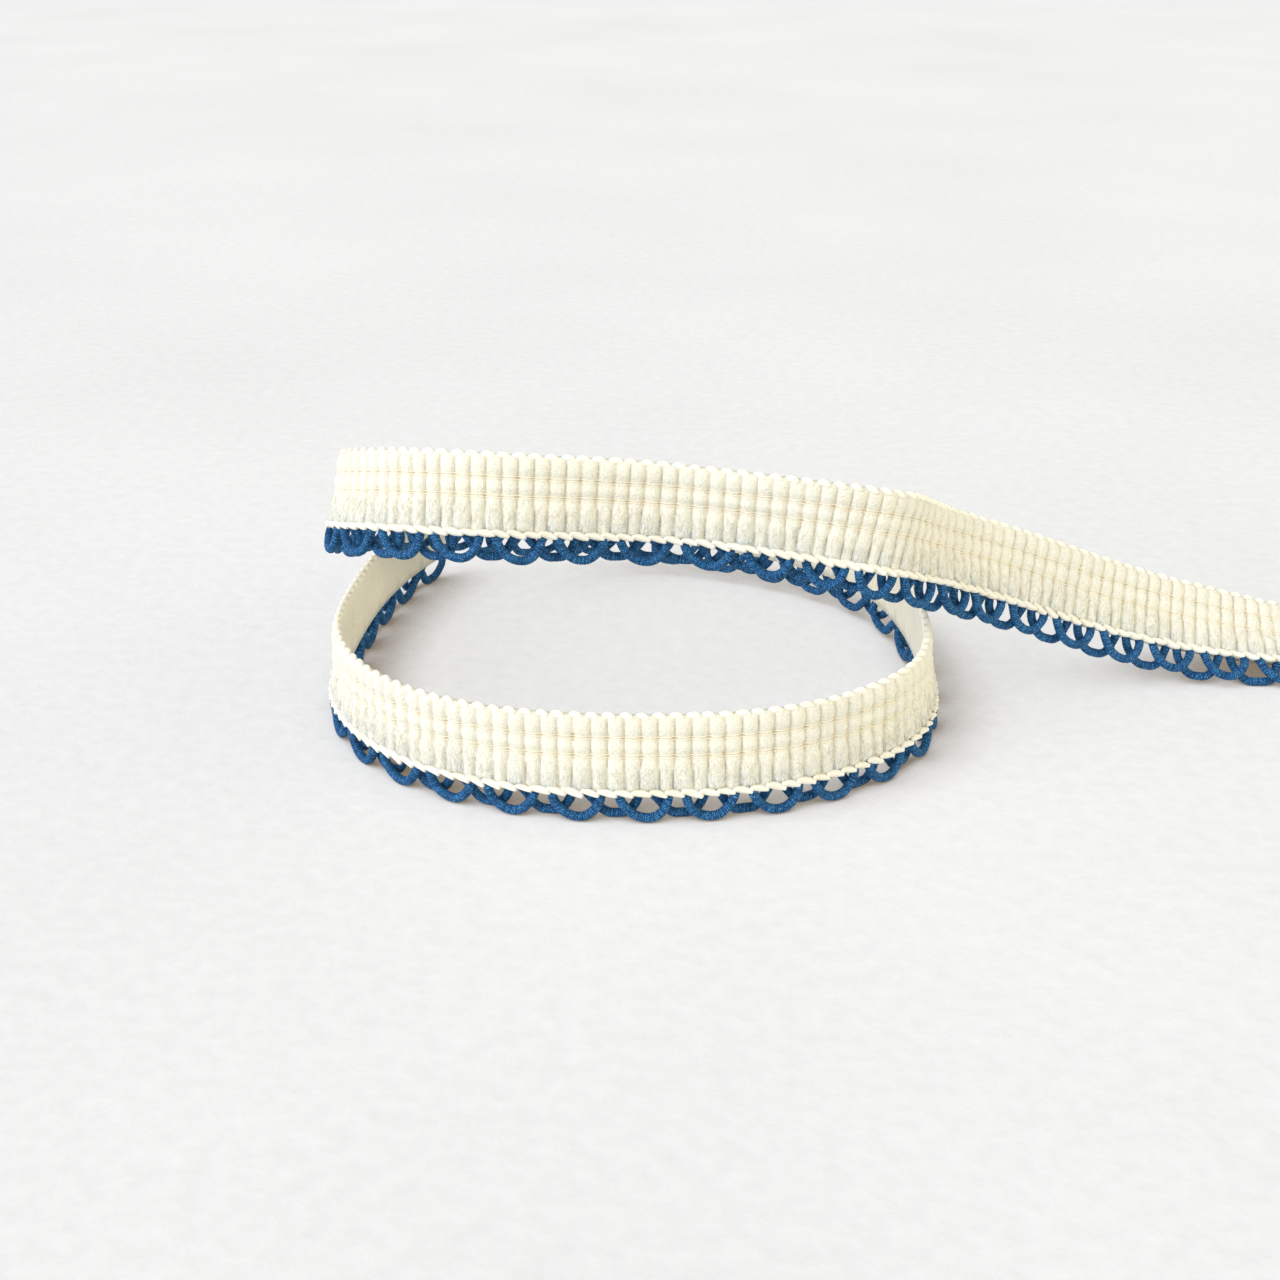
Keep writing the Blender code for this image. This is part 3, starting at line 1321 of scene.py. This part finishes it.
@dataclass
class GimpCord:
    """One blue wound cord, which loops under the tape and turns back inside its lower edge.

    Side is 1 for the cord in front and -1 for the one behind.
    """

    gauge: Gauge
    name: str
    start: float
    side: int
    loop: tuple[tuple[float, float, float], ...]
    radius: float = 0.585
    offset: float = 0.66
    wrap_pitch: float = 0.30
    wrap_stray: float = 1.3
    wrap_waver: float = 0.9
    wrap_detail: float = 2.0
    ridge: float = 0.05
    rings_per_wrap: int = 4
    steps: int = 10
    sides: int = 10
    sway: float = 0.14
    drop: float = 0.06
    loose_band: Band = Band(10.6, 13.0)
    end_margin: float = 0.8
    seed: int = 7

    def line(self, route: Route) -> np.ndarray:
        """The cord's middle line, smooth through each loop's points.

        Args:
            route: the trim's path.

        Returns:
            Its points in metres.
        """
        jitter = np.random.default_rng(self.seed)
        pitch = self.gauge.loop_pitch
        end = self.gauge.length - self.end_margin
        first = math.ceil((self.end_margin - self.start) / pitch)
        rows = []
        for turn in range(first, int((end - self.start) / pitch) + 1):
            sway = jitter.normal(0.0, self.sway)
            drop = jitter.normal(0.0, self.drop)
            for along, down, clear in self.loop:
                loose = self.loose_band.share(np.array(down))
                spot = self.start + turn * pitch + along + sway * loose
                rows.append((spot, down + drop * loose, self.side * self.offset * clear))
        table = np.array(rows)
        fine = self._curve_through(table[table[:, 0] < end], self.steps)
        line = route.place(fine[:, 0], fine[:, 1], fine[:, 2])
        line[:, 2] = np.maximum(line[:, 2], self.radius * MM)
        return line

    @staticmethod
    def _curve_through(table: np.ndarray, steps: int) -> np.ndarray:
        """Points of a smooth curve that goes through a table's rows.

        Args:
            table: one row for each point that the curve goes through.
            steps: how many points to give for each row.

        Returns:
            The points, the last row among them.
        """
        before, after = 2 * table[:1] - table[1:2], 2 * table[-1:] - table[-2:-1]
        padded = np.concatenate([before, table, after])
        t = np.linspace(0, 1, steps, endpoint=False)[None, :, None]
        a, b, c, d = (padded[k : len(padded) - 3 + k][:, None] for k in range(4))
        bend = (2 * a - 5 * b + 4 * c - d) * t**2 + (3 * b - a - 3 * c + d) * t**3
        curve = 0.5 * (2 * b + (c - a) * t + bend)
        return np.concatenate([curve.reshape(-1, table.shape[1]), table[-1:]])

    def crests(self, tree: NodeTree, pitch: Socket) -> Socket:
        """How near each point of the cord is to the top of a wrap.

        Args:
            tree: the cord's tree, whose geometry holds "cord_length" and "cord_turn".
            pitch: the distance from one wrap to the next.

        Returns:
            The nearness, from 0 between two wraps to 1 on top of one.
        """
        count = tree.math("DIVIDE", tree.attribute("cord_length"), pitch)
        phase = tree.math("ADD", count, tree.attribute("cord_turn"))
        links = {"W": count, "Scale": self.wrap_waver, "Detail": self.wrap_detail}
        uneven = tree.node("ShaderNodeTexNoise", links, noise_dimensions="1D")
        stray = tree.math("MULTIPLY", uneven.outputs[0], self.wrap_stray)
        turns = tree.math("MULTIPLY", tree.math("ADD", phase, stray), 2 * math.pi)
        return tree.math("ADD", tree.math("MULTIPLY", tree.math("COSINE", turns), 0.5), 0.5)

    def build(self, route: Route, material: Material) -> Object:
        """Winds the cord along its loops.

        Args:
            route: the trim's path.
            material: the filament's finish.

        Returns:
            The finished cord.
        """
        tree = NodeTree(f"{self.name}_winding")
        size = "NodeSocketFloat"
        radius = tree.add_input("Radius", size, (self.radius - self.ridge / 2) * MM)
        pitch = tree.add_input("Wrap pitch", size, self.wrap_pitch * MM)
        rise = tree.add_input("Ridge", size, self.ridge * MM)
        step = tree.add_input("Step", size, self.wrap_pitch / self.rings_per_wrap * MM)
        finish = tree.add_input("Finish", "NodeSocketMaterial", material)
        curve = tree.node("GeometryNodeMeshToCurve", {"Mesh": tree.carried}).outputs[0]
        links = {"Curve": curve, "Length": step}
        even = tree.node("GeometryNodeResampleCurve", links, mode="LENGTH").outputs[0]
        length = tree.node("GeometryNodeSplineParameter").outputs["Length"]
        path = tree.store(even, "cord_length", length)
        links = {"Resolution": self.sides, "Radius": radius}
        ring = tree.node("GeometryNodeCurvePrimitiveCircle", links).outputs[0]
        turn = tree.node("GeometryNodeSplineParameter").outputs["Factor"]
        section = tree.store(ring, "cord_turn", turn)
        links = {"Curve": path, "Profile Curve": section, "Fill Caps": True}
        swept = tree.node("GeometryNodeCurveToMesh", links).outputs[0]
        crest = self.crests(tree, pitch)
        normal = tree.node("GeometryNodeInputNormal").outputs[0]
        links = {0: normal, "Scale": tree.math("MULTIPLY", crest, rise)}
        lift = tree.node("ShaderNodeVectorMath", links, operation="SCALE").outputs[0]
        links = {"Geometry": swept, "Offset": lift}
        raised = tree.node("GeometryNodeSetPosition", links).outputs[0]
        tree.finish(tree.store(raised, "ridge", crest), finish)
        carrier = path_carrier(f"{self.name}_path", [self.line(route)])
        return tree.bake(carrier, self.name)


@dataclass
class LooseFibres:
    """Fine fibres that lift from the full lower row.

    A fibre starts within the top's range, and its reach is how far down it goes from there.
    """

    gauge: Gauge
    tape: RibbedTape
    fibres_per_rib: int = 22
    points: int = 4
    thread: Thread = Thread(0.022, 3)
    top: tuple[float, float] = (6.0, 9.4)
    reach: tuple[float, float] = (0.5, 1.6)
    lowest: float = 10.7
    slant: float = 1.3
    curl: float = 0.06
    curl_turns: float = 5.0
    lift: float = 0.015
    arch: float = 0.11
    start_margin: float = 1.0
    end_margin: float = 0.3
    seed: int = 23

    def build(self, route: Route, material: Material) -> Object:
        """Lays the fibres.

        Args:
            route: the trim's path.
            material: the fibre's finish.

        Returns:
            The finished fibres.
        """
        jitter = np.random.default_rng(self.seed)
        length = self.gauge.length
        share = np.linspace(0, 1, self.points)
        paths = []
        for _ in range(self.gauge.ribs * self.fibres_per_rib):
            along = jitter.uniform(self.start_margin, length - self.start_margin)
            top = jitter.uniform(*self.top)
            reach = jitter.uniform(*self.reach)
            slant = jitter.normal(0.0, self.slant)
            arch = self.arch * jitter.random()
            curl = self.curl * np.sin(self.curl_turns * share + along)
            spread = along + slant * share * reach / 2 + curl
            spread = np.clip(spread, self.end_margin, length - self.end_margin)
            down = np.minimum(top + share * reach, self.lowest)
            out = self.tape.relief(spread, down)[0] + self.lift + arch * np.sin(np.pi * share)
            paths.append(route.place(spread, down, out))
        return self.thread.lay("loose_fibres", paths, material)


# The studio


class Lamp(NamedTuple):
    """A broad, distant lamp.

    It has a name, the way to it from the trim, how wide it looks from there in degrees, its light
    on a surface that faces it, where 1 makes a white one just white, and its colour.
    """

    name: str
    towards: tuple[float, float, float]
    softness: float
    strength: float
    colour: tuple[float, float, float]


WASH = Lamp("wash", (0.0, 0.0, 1.0), 20.0, 2.5, (1.0, 1.0, 1.0))
LAMPS: tuple[Lamp, ...] = (
    Lamp("window", (-0.72, -0.30, 0.62), 50.0, 0.37, (0.97, 1.0, 1.14)),
    Lamp("low_window", (-0.80, -0.50, 0.33), 40.0, 0.34, (1.0, 1.0, 1.06)),
    Lamp("return", (0.96, -0.24, 0.13), 70.0, 0.52, (1.0, 0.90, 0.68)),
)


@dataclass
class Studio:
    """A pale floor, soft light from the left, and the camera.

    The focal length and the picture's width are in pixels, the sensor, the distance and the aim
    in millimetres, the elevation in radians, and half the floor's width in metres.
    """

    gauge: Gauge
    focal: float = 1700.0
    picture: float = 1280.0
    sensor: float = 36.0
    elevation: float = 0.44
    distance: float = 253.42
    aim: tuple[float, float] = (-27.0, 13.5)
    floor_half: float = 4.0
    front_glow: float = 1.12
    back_glow: float = 0.40
    left_glow: Colour = (0.95, 1.0, 1.13, 1.0)
    right_glow: Colour = (1.05, 1.0, 0.84, 1.0)

    def camera(self) -> None:
        """Sets the camera at the picture's angle, level with the trim's left-to-right."""
        data = bpy.data.cameras.new("camera")
        data.sensor_width = self.sensor
        data.lens = self.sensor * self.focal / self.picture
        data.clip_start = 0.01
        data.clip_end = 30.0
        seen = bpy.data.objects.new("camera", data)
        x = self.aim[0] + self.gauge.centre_x
        y = self.aim[1] + self.gauge.centre_y - self.distance * math.cos(self.elevation)
        seen.location = (x * MM, y * MM, self.distance * math.sin(self.elevation) * MM)
        seen.rotation_euler = (math.pi / 2 - self.elevation, 0.0, 0.0)
        bpy.context.scene.collection.objects.link(seen)
        bpy.context.scene.camera = seen

    def floor(self, material: Material) -> None:
        """Lays the floor, and washes it alone with light from above that throws no shadow.

        Args:
            material: the floor's finish.
        """
        corners = ((-1, -1, 0), (1, -1, 0), (1, 1, 0), (-1, 1, 0))
        points = self.floor_half * np.array(corners, float)
        floor = mesh_object("floor", points, [(0, 1, 2, 3)], material)
        washed = bpy.data.collections.new("washed_floor")
        washed.objects.link(floor)
        wash = self.hang(WASH)
        wash.data.use_shadow = False
        wash.light_linking.receiver_collection = washed

    def hang(self, lamp: Lamp) -> Object:
        """Hangs one lamp.

        Args:
            lamp: what it is like.

        Returns:
            The lamp.
        """
        data = bpy.data.lights.new(lamp.name, "SUN")
        data.angle = math.radians(lamp.softness)
        data.energy = lamp.strength * math.pi
        data.color = lamp.colour
        hung = bpy.data.objects.new(lamp.name, data)
        x, y, z = lamp.towards
        hung.rotation_euler = (math.atan2(math.hypot(x, y), z), 0.0, math.atan2(x, -y))
        bpy.context.scene.collection.objects.link(hung)
        return hung

    def light(self) -> None:
        """Lights the scene.

        The room is brighter in front. A cool window and a low one stand on the left, and a warm
        return on the right.
        """
        world = bpy.data.worlds.new("soft_room")
        world.use_nodes = True
        nodes = Nodes(world.node_tree)
        seen = nodes.node("ShaderNodeTexCoord").outputs["Generated"]
        way = nodes.node("ShaderNodeSeparateXYZ", {0: seen})
        glow = nodes.spread(way.outputs[1], -1.0, 1.0, self.front_glow, self.back_glow)
        side = nodes.spread(way.outputs[0], -1.0, 1.0)
        tint = nodes.mix(side, self.left_glow, self.right_glow)
        background = world.node_tree.nodes["Background"]
        world.node_tree.links.new(tint, background.inputs[0])
        world.node_tree.links.new(glow, background.inputs[1])
        bpy.context.scene.world = world
        for lamp in LAMPS:
            self.hang(lamp)
        bpy.context.scene.view_settings.view_transform = "Standard"
        bpy.context.scene.view_settings.look = "None"


def dress(piece: Object, slot: str, *nodes: str) -> None:
    """Rides a piece on the trim, and hides the solid model's nodes that it replaces.

    Args:
        piece: the finished piece.
        slot: its material slot, not used.
        nodes: the solid model's nodes that it replaces.
    """
    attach(piece, "root")
    if nodes:
        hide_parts(*nodes)
    LOG.info("%s: %d faces", piece.name, len(piece.data.polygons))


def main() -> None:
    """Builds and dresses the trim."""
    logging.basicConfig(level=logging.INFO, format="%(name)s %(message)s")
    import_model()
    route = Route(GAUGE)
    yarn = CreamYarn("cream_yarn").material()
    thread = CreamThread("cream_thread").material()
    edge = CreamThread("edge_thread", colour=(0.79, 0.775, 0.665, 1.0)).material()
    binder = CreamThread("binding_thread", colour=(0.85, 0.80, 0.65, 1.0)).material()
    gimp = BlueGimp("blue_gimp").material()

    tape = RibbedTape(GAUGE)
    cloth = tape.build(route, yarn)
    beads = EdgeStitches(
        GAUGE,
        StitchKind.BEAD,
        shape=BEAD_SHAPE,
        down=0.47,
        out=0.14,
        flat=0.82,
    ).build(route, thread)
    chain = EdgeStitches(
        GAUGE,
        StitchKind.CHAIN,
        shape=CHAIN_SHAPE,
        down=10.36,
        out=0.98,
        small=0.94,
        seed=12,
    ).build(route, edge)
    binding = BindingThreads(GAUGE, tape).build(route, binder)
    fibres = LooseFibres(GAUGE, tape).build(route, thread)
    front = GimpCord(GAUGE, "gimp_front_cord", GAUGE.front_start, 1, FRONT_LOOP).build(route, gimp)
    back_start = GAUGE.front_start + GAUGE.loop_pitch / 2
    back = GimpCord(GAUGE, "gimp_back_cord", back_start, -1, REAR_LOOP, seed=8).build(route, gimp)

    dress(cloth, "tape", "ribbed_tape")
    for piece in (beads, chain, binding, fibres):
        dress(piece, "tape")
    dress(front, "gimp", "gimp_front")
    dress(back, "gimp", "gimp_back")

    studio = Studio(GAUGE)
    studio.floor(PlasterFloor("plaster_floor").material())
    studio.light()
    studio.camera()


if __name__ == "__main__":
    main()
